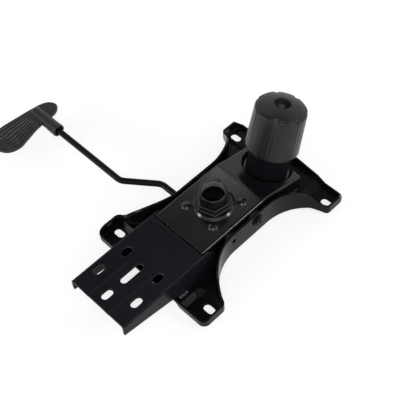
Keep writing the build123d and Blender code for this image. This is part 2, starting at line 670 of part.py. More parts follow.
# Lever
def lever_rod():
    corners = [(ROD_END_X, ROD_Y, ROD_Z), (LEVER_BEND_IN_X, ROD_Y, ROD_Z),
               (LEVER_BEND_OUT_X, LEVER_OUT_Y, ROD_Z), (LEVER_TIP_X, LEVER_OUT_Y, ROD_Z)]
    path = FilletPolyline(*corners, radius=LEVER_BEND_R)
    return sweep(Plane(origin=path @ 0, z_dir=path % 0) * Circle(ROD_R), path=path)


def lever_grip():
    """Flat paddle with a thick boss across it, which takes the rod."""
    outline = Spline(*GRIP_OUTLINE, periodic=True)
    paddle = extrude(Pos(0, 0, GRIP_Z - GRIP_THICK / 2) * make_face(outline), amount=GRIP_THICK)
    paddle = fillet(paddle.edges().filter_by(GeomType.BSPLINE), GRIP_EDGE_R)
    boss = Cone(GRIP_BOSS_END_R, GRIP_BOSS_R, GRIP_BOSS_X - GRIP_BOSS_END_X)
    boss = fillet(boss.edges().sort_by(Axis.Z)[0], GRIP_BOSS_ROUND)
    boss = Pos((GRIP_BOSS_X + GRIP_BOSS_END_X) / 2, LEVER_OUT_Y, ROD_Z) * Rot(0, 90, 0) * boss
    return paddle + boss - along_x(LEVER_OUT_Y, ROD_Z, ROD_R, LEVER_TIP_X, GRIP_BOSS_X + PAST)


def release_arm():
    hub = along_x(ROD_Y, ROD_Z, ARM_HUB_R, ARM_X0, ARM_X1)
    tongue = block(ARM_X0, ARM_X1, ROD_Y, ARM_TIP_Y, ARM_LOW_Z, ARM_TOP_Z)
    heel = block(ARM_X0, ARM_X1, ROD_Y - ARM_HUB_R, ROD_Y + ARM_HUB_R, ARM_LOW_Z, ROD_Z)
    tongue = fillet(tongue.edges().filter_by(Axis.Z).sort_by(Axis.Y)[-2:], ARM_HUB_R / 2)
    return hub + tongue + heel - along_x(ROD_Y, ROD_Z, ROD_R, -REAR_LOBE_X, REAR_LOBE_X)


def rod_clips():
    clips = []
    for x0 in (TONGUE_X0 - PLAY - CLIP_THICK, SLIDER_X1 + PLAY):
        ring = along_x(ROD_Y, ROD_Z, CLIP_R, x0, x0 + CLIP_THICK)
        clips.append(ring - along_x(ROD_Y, ROD_Z, ROD_R, -REAR_LOBE_X, REAR_LOBE_X))
    return Compound(clips)


# Lock
def lock_slider():
    hub = along_x(ROD_Y, ROD_Z, SLIDER_R, TONGUE_X0, SLIDER_X1)
    web = block(TONGUE_X0, TONGUE_X0 + SLIDER_WEB_THICK, TONGUE_Y0, ROD_Y, TONGUE_Z0, TONGUE_Z1 + SHEET)
    tongue = block(TONGUE_X0, TONGUE_X1, TONGUE_Y0, TONGUE_Y1, TONGUE_Z0, TONGUE_Z1)
    slider = hub + web + tongue
    return slider - along_x(ROD_Y, ROD_Z, ROD_R + RUNNING, -REAR_LOBE_X, REAR_LOBE_X)


def tongue_window(x0, x1):
    return block(x0, x1, TONGUE_Y0 - PLAY, TONGUE_Y1 + PLAY, TONGUE_Z0 - PLAY, TONGUE_Z1 + PLAY)


def lock_guide():
    x1 = GUIDE_X + SHEET
    plate = block(GUIDE_X, x1, GUIDE_REAR_Y, GUIDE_FRONT_Y, GUIDE_LOW_Z, DOUBLER_UNDER)
    return plate - tongue_window(GUIDE_X - PAST, x1 + PAST)


def lock_catch():
    x1 = CATCH_X + CATCH_THICK
    plate = block(CATCH_X, x1, CATCH_REAR_Y, CATCH_FRONT_Y, FLOOR_TOP, CATCH_TOP_Z)
    plate = plate + block(CATCH_X, x1, CATCH_REAR_Y, CATCH_FOOT_FRONT_Y, FLOOR_TOP, CATCH_FOOT_Z)
    window = tongue_window(CATCH_X - PAST, x1 + PAST)
    pivot = Axis((0, PIVOT_Y, PIVOT_Z), (1, 0, 0))
    return plate - window - window.rotate(pivot, TILT_MAX)


# Rubber stops
def buffers(middle_y, top):
    blocks = []
    for x0, x1 in ((BUFFER_X0, BUFFER_X1), (-BUFFER_X1, -BUFFER_X0)):
        stop = block(x0, x1, middle_y - BUFFER_HALF_Y, middle_y + BUFFER_HALF_Y, FLOOR_TOP, top)
        blocks.append(fillet(stop.edges().filter_by(Axis.Z), BUFFER_CORNER_R))
    return Compound(blocks)


os.makedirs("parts", exist_ok=True)
save("seat_plate", seat_plate())
save("back_bracket", back_bracket())
save("bracket_welds", bracket_welds())
save("pivot_pin", pivot_pin())
save("lock_catch", lock_catch())
save("front_buffers", buffers(FRONT_BUFFER_Y, FRONT_BUFFER_TOP))
save("rear_buffers", buffers(REAR_BUFFER_Y, REAR_BUFFER_TOP))
save("base_housing", base_housing())
save("housing_doubler", housing_doubler())
save("taper_socket", taper_socket())
save("socket_collar", socket_collar())
save("pivot_bushes", pivot_bushes())
save("lever_bushes", lever_bushes())
save("lock_guide", lock_guide())
save("spring_sleeve", spring_sleeve())
save("spring_seat", washer(SEAT_WASHER_R, BOLT_R + BOLT_PLAY, SLEEVE_WALL, SEAT_WASHER_THICK))
save("compression_spring", compression_spring())
save("tension_bolt", tension_bolt())
save("thrust_washer", washer(THRUST_R, BOLT_R + PLAY, THRUST_LOW, THRUST_THICK))
save("knob_washer", washer(KNOB_WASHER_R, BOLT_R + PLAY, KNOB_WASHER_LOW, NUT_LOW - KNOB_WASHER_LOW))
save("knob_nut", knob_nut())
save("knob", knob())
save("lock_slider", lock_slider())
save("lever_rod", lever_rod())
save("lever_grip", lever_grip())
save("release_arm", release_arm())
save("rod_clips", rod_clips())
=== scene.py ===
import bpy
import math
from mathutils import Matrix, Vector


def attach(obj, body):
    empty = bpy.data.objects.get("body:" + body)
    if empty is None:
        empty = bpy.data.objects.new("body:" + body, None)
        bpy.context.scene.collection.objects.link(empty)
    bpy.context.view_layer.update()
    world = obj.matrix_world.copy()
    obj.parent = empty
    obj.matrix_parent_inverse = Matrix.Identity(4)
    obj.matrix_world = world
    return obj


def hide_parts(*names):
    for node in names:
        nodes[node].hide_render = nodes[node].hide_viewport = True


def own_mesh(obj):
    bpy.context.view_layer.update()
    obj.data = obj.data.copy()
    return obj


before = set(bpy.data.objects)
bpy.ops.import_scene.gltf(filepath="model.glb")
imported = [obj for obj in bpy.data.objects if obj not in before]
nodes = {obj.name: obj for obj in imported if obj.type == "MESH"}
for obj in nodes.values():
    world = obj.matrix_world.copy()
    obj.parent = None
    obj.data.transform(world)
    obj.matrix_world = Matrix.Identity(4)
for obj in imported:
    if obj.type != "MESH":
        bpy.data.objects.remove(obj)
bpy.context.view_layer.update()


# Camera: stands behind and to the right of the mechanism and looks down on it, as in the
# photograph. Place and turn were solved from edges and slots of the object.
SENSOR_WIDTH = 36.0
LENS = 83.16332564
CAMERA_PLACE = (0.46727323567, -0.44081270574, 0.92258450053)
CAMERA_TURN = (36.01044156, 2.94454409, 45.00190177)
camera_data = bpy.data.cameras.new("photo_camera")
camera_data.sensor_width = SENSOR_WIDTH
camera_data.lens = LENS
camera_data.clip_start = 0.05
camera = bpy.data.objects.new("photo_camera", camera_data)
camera.location = CAMERA_PLACE
camera.rotation_euler = [math.radians(a) for a in CAMERA_TURN]
bpy.context.scene.collection.objects.link(camera)
bpy.context.scene.camera = camera
bpy.context.scene.view_settings.view_transform = "Standard"


# Studio: a white table between pale walls, with a dark ceiling, two small softboxes at the sides,
# a large one in front and a small one high up. Black paint shows mostly what it mirrors: the
# table low down, the walls on slopes and rims, and the ceiling on its level faces.
def mesh_object(name, points, faces, smooth=False):
    mesh = bpy.data.meshes.new(name)
    mesh.from_pydata(points, [], faces)
    mesh.update()
    if smooth:
        mesh.polygons.foreach_set("use_smooth", [True] * len(mesh.polygons))
    item = bpy.data.objects.new(name, mesh)
    bpy.context.scene.collection.objects.link(item)
    return item


def shader_tree(name):
    """A material with a Principled shader on its output."""
    material = bpy.data.materials.new(name)
    material.use_nodes = True
    tree = material.node_tree
    tree.nodes.clear()
    shader = tree.nodes.new("ShaderNodeBsdfPrincipled")
    output = tree.nodes.new("ShaderNodeOutputMaterial")
    tree.links.new(shader.outputs["BSDF"], output.inputs["Surface"])
    return material, tree, shader


def add(tree, kind, links=None, **settings):
    """Adds a node; links gives each input a value or another node's output."""
    node = tree.nodes.new(kind)
    for key, value in settings.items():
        setattr(node, key, value)
    for key, value in (links or {}).items():
        if isinstance(value, bpy.types.NodeSocket):
            tree.links.new(value, node.inputs[key])
        else:
            node.inputs[key].default_value = value
    return node


def larger(tree, a, b):
    return add(tree, "ShaderNodeMath", {0: a, 1: b}, operation="MAXIMUM").outputs[0]


def product(tree, a, b):
    return add(tree, "ShaderNodeMath", {0: a, 1: b}, operation="MULTIPLY").outputs[0]


FLOOR_HALF = 4.0
FLOOR_DROP = 0.0004
FLOOR_COLOUR = (0.26, 0.26, 0.263)
FLOOR_GLOW = 0.76
ROOM_COLOUR = (0.98, 0.96, 1.0)
WALL_GLOW = 0.9
CEILING_GLOW = 0.16
WALL_END = 0.74
CEILING_START = 0.81

floor_corners = [(-FLOOR_HALF, -FLOOR_HALF, 0), (FLOOR_HALF, -FLOOR_HALF, 0),
                 (FLOOR_HALF, FLOOR_HALF, 0), (-FLOOR_HALF, FLOOR_HALF, 0)]
floor = mesh_object("studio_floor", floor_corners, [(0, 1, 2, 3)])
floor.location.z = -FLOOR_DROP
floor_paint, tree, shader = shader_tree("studio_white")
shader.inputs["Base Color"].default_value = (*FLOOR_COLOUR, 1)
shader.inputs["Roughness"].default_value = 0.9
shader.inputs["Emission Color"].default_value = (1.0, 1.0, 1.0, 1)
path = add(tree, "ShaderNodeLightPath")
seen = larger(tree, path.outputs["Is Camera Ray"], path.outputs["Is Glossy Ray"])
seen = larger(tree, seen, path.outputs["Is Transmission Ray"])
tree.links.new(product(tree, seen, FLOOR_GLOW), shader.inputs["Emission Strength"])
floor.data.materials.append(floor_paint)

world = bpy.data.worlds.new("studio_room")
world.use_nodes = True
bpy.context.scene.world = world
tree = world.node_tree
room = tree.nodes["Background"]
room.inputs["Color"].default_value = (*ROOM_COLOUR, 1)
direction = add(tree, "ShaderNodeTexCoord")
height = add(tree, "ShaderNodeSeparateXYZ", {"Vector": direction.outputs["Generated"]})
fall = add(tree, "ShaderNodeMapRange", {
    "Value": height.outputs["Z"], "From Min": WALL_END, "From Max": CEILING_START,
    "To Min": WALL_GLOW, "To Max": CEILING_GLOW})
path = add(tree, "ShaderNodeLightPath")
shown = larger(tree, fall.outputs["Result"], path.outputs["Is Camera Ray"])
tree.links.new(shown, room.inputs["Strength"])


def soft_lamp(name, place, aim, size, watts):
    light = bpy.data.lights.new(name, "AREA")
    light.shape = "SQUARE"
    light.size = size
    light.energy = watts
    lamp = bpy.data.objects.new(name, light)
    lamp.location = place
    lamp.rotation_euler = (Vector(aim) - Vector(place)).to_track_quat("-Z", "Y").to_euler()
    bpy.context.scene.collection.objects.link(lamp)


soft_lamp("lamp_right", place=(1.62, 0.78, 0.92), aim=(0, 0, 0.02), size=0.42, watts=9)
soft_lamp("lamp_left", place=(-0.9, -1.62, 0.8), aim=(0, 0, 0.02), size=0.42, watts=7.5)
soft_lamp("lamp_front", place=(0.9, -0.75, 1.7), aim=(0, 0, 0), size=1.2, watts=15)
soft_lamp("lamp_high", place=(-0.88, 0.86, 1.51), aim=(0, 0, 0.04), size=0.14, watts=0.3)


# Seat plate: pressed from 2.5 mm steel sheet and coated black after welding; the seat's bolts
# hold it. The paint is satin with a fine orange peel, thin and polished on the rims where hands
# and bolts rub it.
def new_group(name, inputs, outputs):
    group = bpy.data.node_groups.new(name, "ShaderNodeTree")
    for label, kind, value in inputs:
        socket_type = "NodeSocket" + kind
        socket = group.interface.new_socket(label, in_out="INPUT", socket_type=socket_type)
        if value is not None:
            socket.default_value = value
    for label, kind in outputs:
        group.interface.new_socket(label, in_out="OUTPUT", socket_type="NodeSocket" + kind)
    return group, group.nodes.new("NodeGroupInput"), group.nodes.new("NodeGroupOutput")


def edge_rub_group():
    """Rounds sharp rims in the shading and gives a broken mask along them."""
    group, given, out = new_group(
        "edge_rub",
        [("Width", "Float", 0.0012), ("Break Size", "Float", 220.0), ("Amount", "Float", 1.0)],
        [("Mask", "Float"), ("Normal", "Vector")])
    bevel = add(group, "ShaderNodeBevel", {"Radius": given.outputs["Width"]}, samples=6)
    shape = add(group, "ShaderNodeNewGeometry")
    dot = add(group, "ShaderNodeVectorMath",
              {0: bevel.outputs["Normal"], 1: shape.outputs["Normal"]}, operation="DOT_PRODUCT")
    edge = add(group, "ShaderNodeMapRange", {
        "Value": dot.outputs["Value"], "From Min": 0.98, "From Max": 0.8, "To Min": 0.0, "To Max": 1.0})
    place = add(group, "ShaderNodeTexCoord")
    noise = add(group, "ShaderNodeTexNoise", {
        "Vector": place.outputs["Object"], "Scale": given.outputs["Break Size"],
        "Detail": 5.0, "Roughness": 0.65})
    broken = add(group, "ShaderNodeMapRange", {
        "Value": noise.outputs["Fac"], "From Min": 0.42, "From Max": 0.62})
    mask = product(group, edge.outputs["Result"], broken.outputs["Result"])
    group.links.new(product(group, mask, given.outputs["Amount"]), out.inputs["Mask"])
    group.links.new(bevel.outputs["Normal"], out.inputs["Normal"])
    return group


def grain_group():
    """Bumps of two sizes over a given normal: a soft peel and a sharp grain."""
    group, given, out = new_group(
        "surface_grain",
        [("Peel Size", "Float", 450.0), ("Peel Height", "Float", 0.02),
         ("Grain Size", "Float", 2500.0), ("Grain Height", "Float", 0.01),
         ("Normal", "Vector", None)],
        [("Normal", "Vector")])
    place = add(group, "ShaderNodeTexCoord")
    peel = add(group, "ShaderNodeTexNoise", {
        "Vector": place.outputs["Object"], "Scale": given.outputs["Peel Size"], "Detail": 2.0})
    grain = add(group, "ShaderNodeTexNoise", {
        "Vector": place.outputs["Object"], "Scale": given.outputs["Grain Size"], "Detail": 4.0})
    soft = add(group, "ShaderNodeBump", {
        "Height": peel.outputs["Fac"], "Strength": 1.0,
        "Distance": given.outputs["Peel Height"], "Normal": given.outputs["Normal"]})
    sharp = add(group, "ShaderNodeBump", {
        "Height": grain.outputs["Fac"], "Strength": 1.0,
        "Distance": given.outputs["Grain Height"], "Normal": soft.outputs["Normal"]})
    group.links.new(sharp.outputs["Normal"], out.inputs["Normal"])
    return group


def patches_group():
    """Slow patches of dust and handling, with fine scuffs in one direction."""
    group, given, out = new_group(
        "patches",
        [("Size", "Float", 14.0), ("Scuff Size", "Float", 160.0), ("Scuff Amount", "Float", 0.35)],
        [("Mask", "Float"), ("Scuff", "Float")])
    place = add(group, "ShaderNodeTexCoord")
    cloud = add(group, "ShaderNodeTexNoise", {
        "Vector": place.outputs["Object"], "Scale": given.outputs["Size"],
        "Detail": 6.0, "Roughness": 0.6})
    stretch = add(group, "ShaderNodeMapping", {
        "Vector": place.outputs["Object"], "Scale": (1.0, 0.12, 1.0), "Rotation": (0, 0, 0.35)})
    streak = add(group, "ShaderNodeTexNoise", {
        "Vector": stretch.outputs["Vector"], "Scale": given.outputs["Scuff Size"], "Detail": 3.0})
    mask = add(group, "ShaderNodeMapRange", {
        "Value": cloud.outputs["Fac"], "From Min": 0.35, "From Max": 0.7})
    scuff = add(group, "ShaderNodeMapRange", {
        "Value": streak.outputs["Fac"], "From Min": 0.62, "From Max": 0.75,
        "To Max": given.outputs["Scuff Amount"]})
    group.links.new(mask.outputs["Result"], out.inputs["Mask"])
    group.links.new(scuff.outputs["Result"], out.inputs["Scuff"])
    return group


EDGE_RUB = edge_rub_group()
GRAIN = grain_group()
PATCHES = patches_group()
DUST_GAIN = 1.35
DUST_LIFT = 0.0012


def shared_effect(tree, group, labels, values):
    """Puts a shared node group in a material, with this material's own values."""
    node = add(tree, "ShaderNodeGroup", node_tree=group)
    for label, value in zip(labels, values):
        node.inputs[label].default_value = value
    return node


def surface(name, colour, worn, rough, rough_patch, rub=(0.0012, 220.0, 1.0),
            grain=(450.0, 0.00004, 2500.0, 0.00001), patch=(14.0, 160.0, 0.06),
            worn_rough=0.25, metallic=0.0, specular=0.4):
    """Material of one piece: its colour, what shows on its rubbed rims, and how its shine changes.

    rub is width, break size and amount; grain is size and height of peel and of grain; patch is
    size of the patches, size of the scuffs and their amount.
    """
    material, tree, shader = shader_tree(name)
    edge = shared_effect(tree, EDGE_RUB, ("Width", "Break Size", "Amount"), rub)
    bumps = shared_effect(tree, GRAIN, ("Peel Size", "Peel Height", "Grain Size", "Grain Height"), grain)
    tree.links.new(edge.outputs["Normal"], bumps.inputs["Normal"])
    cloud = shared_effect(tree, PATCHES, ("Size", "Scuff Size", "Scuff Amount"), patch)
    dusty = tuple(c * DUST_GAIN + DUST_LIFT for c in colour)
    shade = add(tree, "ShaderNodeMix", {"Factor": cloud.outputs["Mask"]}, data_type="RGBA")
    shade.inputs[6].default_value = (*colour, 1)
    shade.inputs[7].default_value = (*dusty, 1)
    final = add(tree, "ShaderNodeMix", {"Factor": edge.outputs["Mask"]}, data_type="RGBA")
    tree.links.new(shade.outputs[2], final.inputs[6])
    final.inputs[7].default_value = (*worn, 1)
    tree.links.new(final.outputs[2], shader.inputs["Base Color"])
    shine = add(tree, "ShaderNodeMapRange", {
        "Value": cloud.outputs["Mask"], "To Min": rough, "To Max": rough_patch})
    scuffed = add(tree, "ShaderNodeMath", {0: shine.outputs["Result"], 1: cloud.outputs["Scuff"]},
                  operation="ADD")
    scuff_cut = add(tree, "ShaderNodeMix", {
        "Factor": edge.outputs["Mask"], "A": scuffed.outputs[0], "B": worn_rough}, data_type="FLOAT")
    tree.links.new(scuff_cut.outputs[0], shader.inputs["Roughness"])
    tree.links.new(bumps.outputs["Normal"], shader.inputs["Normal"])
    shader.inputs["Metallic"].default_value = metallic
    shader.inputs["Specular IOR Level"].default_value = specular
    return material


def repaint(node, material):
    nodes[node].material_slots[0].material = material


PAINT = (0.0032, 0.0027, 0.0039)
RUBBED = (0.05, 0.048, 0.052)
repaint("seat_plate", surface("seat_plate_coat", PAINT, RUBBED, 0.2, 0.28,
                              rub=(0.0012, 220.0, 0.45), specular=0.08))


# Back bracket: bent channel of the same sheet, with adjusting slots for the back's upright,
# welded on the seat plate's rear. It is coated with the plate, but its black is painted lighter,
# as painted light for the sheen on its web. The rims of the slots are where the paint wears first;
# along the long bends the rubbed mask is widened into a painted highlight line over that wear.
# Lighter than the plate's black: painted light for the sheen on the bracket's web.
BRACKET_LIT_PAINT = (0.0075, 0.0064, 0.0084)
# The wide rub paints a highlight line along the long bends, over real wear on the rims.
repaint("back_bracket", surface("bracket_coat_painted_light", BRACKET_LIT_PAINT, RUBBED, 0.22, 0.29,
                                rub=(0.003, 260.0, 0.75), patch=(11.0, 190.0, 0.06),
                                specular=0.055))


# Bracket welds: a short run of electrode weld on each side, in the corner between the bracket's
# wall and the seat plate's floor, painted over with the rest.
POLISHED = (0.09, 0.09, 0.095)
WELD_CORNER_X = 43.35
WELD_CORNER_Z = 8.35
WELD_REAR_Y = -119.3
WELD_LENGTH = 16.2
WELD_STATIONS = 110
WELD_AROUND = 14
WELD_ROOT = 0.25
WELD_LEG = 4.55
RIPPLE_PITCH = 2.05
RIPPLE_BOW = 0.96
RIPPLE_HEIGHT = 0.42
WANDER = 0.25
weld_coat = surface("weld_coat_fine", PAINT, POLISHED, 0.2, 0.3, rub=(0.0005, 500.0, 0.8),
                    grain=(700.0, 0.00008, 2600.0, 0.00002), specular=0.4)


def weld_run(name, side):
    """Fillet weld in the corner of wall and floor; each step of the torch leaves a curved ripple."""
    points = []
    for k in range(WELD_STATIONS + 1):
        t = k / WELD_STATIONS
        y = WELD_REAR_Y + WELD_LENGTH * t
        end = math.sqrt(max(0.0, 1 - (2 * t - 1) ** 6))
        for i in range(WELD_AROUND + 1):
            a = math.radians(90 * i / WELD_AROUND)
            phase = (y + RIPPLE_BOW * math.sin(2 * a)) / RIPPLE_PITCH + 0.15 * math.sin(3.1 * y)
            ripple = RIPPLE_HEIGHT * abs(math.sin(math.pi * phase)) ** 0.6
            reach = WELD_ROOT + end * (WELD_LEG + ripple + WANDER * math.sin(1.7 * y + side))
            x = side * (WELD_CORNER_X + reach * math.cos(a))
            z = WELD_CORNER_Z + reach * math.sin(a)
            points.append((x / 1000, y / 1000, z / 1000))
        points.append((side * WELD_CORNER_X / 1000, y / 1000, WELD_CORNER_Z / 1000))
    ring = WELD_AROUND + 2
    faces = []
    for k in range(WELD_STATIONS):
        for i in range(ring):
            j = (i + 1) % ring
            quad = (k * ring + i, k * ring + j, (k + 1) * ring + j, (k + 1) * ring + i)
            faces.append(quad if side > 0 else quad[::-1])
    first = tuple(range(ring))
    last = tuple(WELD_STATIONS * ring + i for i in range(ring))
    faces += [first[::-1], last] if side > 0 else [first, last[::-1]]
    run = mesh_object(name, points, faces, smooth=True)
    run.data.materials.append(weld_coat)
    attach(run, "seat")
    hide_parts("bracket_welds")


weld_run("bracket_weld_right", 1)
weld_run("bracket_weld_left", -1)


# Pivot pin: turned from steel bar with a riveted head and blackened in oil. It goes through the
# seat plate's flanges, and the housing rocks on it.
repaint("pivot_pin", surface("pin_black", PAINT, POLISHED, 0.24, 0.34, specular=0.045,
                             rub=(0.0006, 500.0, 1.0)))


# Lock catch: a punched steel plate, welded on edge to the floor of the seat plate. The lock's
# tongue enters it and holds the housing upright.
repaint("lock_catch", surface("catch_coat", PAINT, RUBBED, 0.33, 0.42))


# Rubber stops: moulded blocks that end the rocking quietly at both sides of the pin, glued to
# the floor of the seat plate.
BLACK = (0.012, 0.012, 0.012)
BLACK_RUBBED = (0.03, 0.03, 0.03)
for node in ("front_buffers", "rear_buffers"):
    repaint(node, surface(node + "_rubber", BLACK, BLACK_RUBBED, 0.7, 0.85, worn_rough=0.6,
                          rub=(0.0008, 300.0, 0.5), grain=(700.0, 0.0001, 3000.0, 0.00003)))


# Base housing: pressed steel box that carries the gas lift and rocks on the pin, with a doubler
# and the lock's guide plate welded inside. Coated like the plate, but smoother and glossier.
repaint("base_housing", surface("housing_coat_fine", PAINT, RUBBED, 0.15, 0.2,
                                rub=(0.0007, 240.0, 0.3), patch=(12.0, 170.0, 0.04),
                                specular=0.4))
repaint("housing_doubler", surface("doubler_coat", PAINT, RUBBED, 0.34, 0.42))
repaint("lock_guide", surface("guide_coat", PAINT, RUBBED, 0.34, 0.42))


# Gas-lift socket: drawn steel tube with a ground taper inside, welded into the housing with a
# faceted collar round it. The paint is blown on with the mouth open, so the land just inside it
# shows ground metal. The bore below is black with its shine cut almost away, as painted shade
# for the inside of the tube.
def lathe(name, outline, turns, place, carve=None):
    """Turns a closed outline of (radius, height) in m about the place's Z axis into a closed skin."""
    points = []
    for k in range(turns):
        angle = 2 * math.pi * k / turns
        for r, h in outline:
            if carve:
                r, h = carve(r, h, angle)
            points.append(place @ Vector((r * math.cos(angle), r * math.sin(angle), h)))
    count = len(outline)
    faces = []
    for k in range(turns):
        after = (k + 1) % turns
        for i in range(count):
            j = (i + 1) % count
            faces.append((k * count + i, after * count + i, after * count + j, k * count + j))
    return mesh_object(name, points, faces, smooth=True)


GROUND = (0.17, 0.163, 0.172)
GROUND_RUBBED = (0.2, 0.195, 0.2)
BORE_SHADE = (0.003, 0.003, 0.003)
INSIDE_R = 0.0142
GROUND_LOW_Z = 0.0615
SOCKET_PLACE = Matrix.Translation((0, -0.0143, 0))
SOCKET_WALL = [(0.0159, 0.0380), (0.0159, 0.0702), (0.01575, 0.0707), (0.0153, 0.0710),
               (0.0150, 0.0710), (0.0146, 0.0708), (0.0142, 0.0703), (0.0140, 0.0696),
               (0.0140, 0.0662), (0.0140, 0.0630), (0.01392, 0.0615), (0.0137, 0.0570),
               (0.01338, 0.0380)]
socket_coat = surface("socket_coat_fine", PAINT, POLISHED, 0.24, 0.34, rub=(0.0007, 400.0, 1.0))
# Below the ground land: black with its shine cut almost away, as painted shade inside the tube.
socket_bore_painted_shade = surface("socket_bore_painted_shade", BORE_SHADE, BORE_SHADE, 0.6, 0.7, specular=0.02)
socket_ground = surface("socket_ground", GROUND, GROUND_RUBBED, 0.34, 0.44, metallic=0.5,
                        rub=(0.0006, 400.0, 1.0), grain=(300.0, 0.00001, 5000.0, 0.00001))
socket = lathe("socket_tube", SOCKET_WALL, 144, SOCKET_PLACE)
for material in (socket_coat, socket_ground, socket_bore_painted_shade):
    socket.data.materials.append(material)
# Faces inside the tube: ground land above GROUND_LOW_Z, painted shade below it.
for face in socket.data.polygons:
    if (face.center.xy - SOCKET_PLACE.translation.xy).length < INSIDE_R:
        face.material_index = 1 if face.center.z > GROUND_LOW_Z else 2
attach(socket, "housing")
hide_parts("taper_socket")
repaint("socket_collar", surface("collar_coat", PAINT, RUBBED, 0.26, 0.34,
                                 rub=(0.0006, 300.0, 1.0)))


# Bushes: flanged bushes moulded from black acetal, pressed into the housing, that keep pin and
# rod from squeaking.
for node in ("pivot_bushes", "lever_bushes"):
    repaint(node, surface(node + "_acetal", BLACK, BLACK_RUBBED, 0.42, 0.55, worn_rough=0.3,
                          rub=(0.0004, 600.0, 0.5)))


# Spring sleeve: deep-drawn steel cup that keeps the spring in line, seated in a dish of the
# housing's slope and coated black.
repaint("spring_sleeve", surface("sleeve_coat_fine", PAINT, RUBBED, 0.3, 0.4,
                                 rub=(0.001, 300.0, 0.5), specular=0.06))


# Spring, washers and tension bolt: the stack that the knob squeezes. The spring is coiled from
# oiled wire, the washers are zinc plated, bolt and nut are black oxide, and a nylon washer lets
# the nut turn. The coil rides stiffly with the housing.
STEEL = (0.3, 0.3, 0.31)
OILED = (0.09, 0.085, 0.08)
ZINC = (0.5, 0.51, 0.53)
BRIGHT = (0.62, 0.62, 0.63)
OXIDE = (0.03, 0.029, 0.031)
OXIDE_RUBBED = (0.2, 0.2, 0.2)
NYLON = (0.62, 0.6, 0.55)
NYLON_RUBBED = (0.5, 0.49, 0.45)
TURNED = (900.0, 0.00002, 4000.0, 0.00001)
LEAN = math.radians(15.5)
STACK_AXIS = Vector((0, math.sin(LEAN), math.cos(LEAN)))
spring_steel = surface("spring_oiled", OILED, STEEL, 0.35, 0.5, metallic=1.0)
for node in ("spring_seat", "thrust_washer"):
    repaint(node, surface(node + "_zinc", ZINC, BRIGHT, 0.32, 0.48, metallic=1.0,
                          rub=(0.0004, 500.0, 0.7), grain=TURNED))
for node in ("tension_bolt", "knob_nut", "release_arm", "lock_slider"):
    repaint(node, surface(node + "_oxide", OXIDE, OXIDE_RUBBED, 0.3, 0.42, metallic=0.9,
                          rub=(0.0004, 500.0, 0.7), grain=TURNED))
repaint("knob_washer", surface("knob_washer_nylon", NYLON, NYLON_RUBBED, 0.45, 0.6))
wire = nodes["compression_spring"].data.copy()
wire.transform(nodes["compression_spring"].matrix_world)
spring = bpy.data.objects.new("spring_coil", wire)
bpy.context.scene.collection.objects.link(spring)
wire.materials.clear()
wire.materials.append(spring_steel)
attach(spring, "housing")
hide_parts("compression_spring")
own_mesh(spring)


# Tension knob: one moulding of black polypropylene with a fine matt grain, seven finger grooves
# that deepen towards the rim, and a hole in its domed top over the nut that is pressed in from
# below. It turns on the stack's axis; its sizes here are in mm along that axis.
PIVOT_Z = 0.031
TOP_Z = 0.046
STACK_FACE_Y = 0.0779
DISH_DEPTH = 0.0055
STACK_FACE = Vector((0, STACK_FACE_Y, TOP_Z - (STACK_FACE_Y - PIVOT_Z) * math.tan(LEAN)))
STACK_ORIGIN = STACK_FACE - STACK_AXIS * DISH_DEPTH
STACK = Matrix((
    (1, 0, 0, STACK_ORIGIN.x),
    (0, math.cos(LEAN), math.sin(LEAN), STACK_ORIGIN.y),
    (0, -math.sin(LEAN), math.cos(LEAN), STACK_ORIGIN.z),
    (0, 0, 0, 1),
))
KNOB_TURNS = 504
KNOB_FOOT = 38.0
KNOB_FOOT_R = 33.05
KNOB_FOOT_ROUND = 1.5
KNOB_DRAFT = 1.65
KNOB_SIDE = 53.0
KNOB_RIM = (28.1, 91.2)
KNOB_RIM_R = 3.3
CROWN = 100.8
DOME_R = 80.0
DOME_OUTER_R = 28.5
DOME_INNER_R = 11.1
DOME_STEPS = 28
KNOB_HOLE = [(0.0106, 0.10000), (0.0102, 0.09975), (0.0100, 0.0993), (0.0100, 0.0922),
             (0.0098, 0.092), (0.0078, 0.092), (0.0076, 0.0918), (0.0076, 0.0856)]
KNOB_CAVITY = [(0.0078, 0.0855), (0.0128, 0.0855), (0.013, 0.0857), (0.013, 0.0898),
               (0.0132, 0.09), (0.0265, 0.09), (0.0269, 0.0896)]
GROOVE_COUNT = 7
FIRST_GROOVE = 92.6
GROOVE_DEPTH = 0.40
GROOVE_DEEPENS = 0.5
GROOVE_DEEPENS_FROM = 60.0
GROOVE_DEEPENS_OVER = 34.0
GROOVE_WIDTH = 0.8
HOLLOW_DEPTH = 0.22
HOLLOW_OFFSET = 5.2
HOLLOW_WIDTH = 1.5
NOTCH_START = (35.4, 87.5)
NOTCH_RUN = (0.838, 0.545)
NOTCH_R = 3.2
NOTCH_FLANK = 1.4
NOTCH_BLEND = 0.5


def arc_points(centre, radius, start, end, count):
    """Points on an arc in the plane of radius and height, angles in degrees."""
    steps = [math.radians(start + (end - start) * i / (count - 1)) for i in range(count)]
    return [(centre[0] + radius * math.cos(a), centre[1] + radius * math.sin(a)) for a in steps]


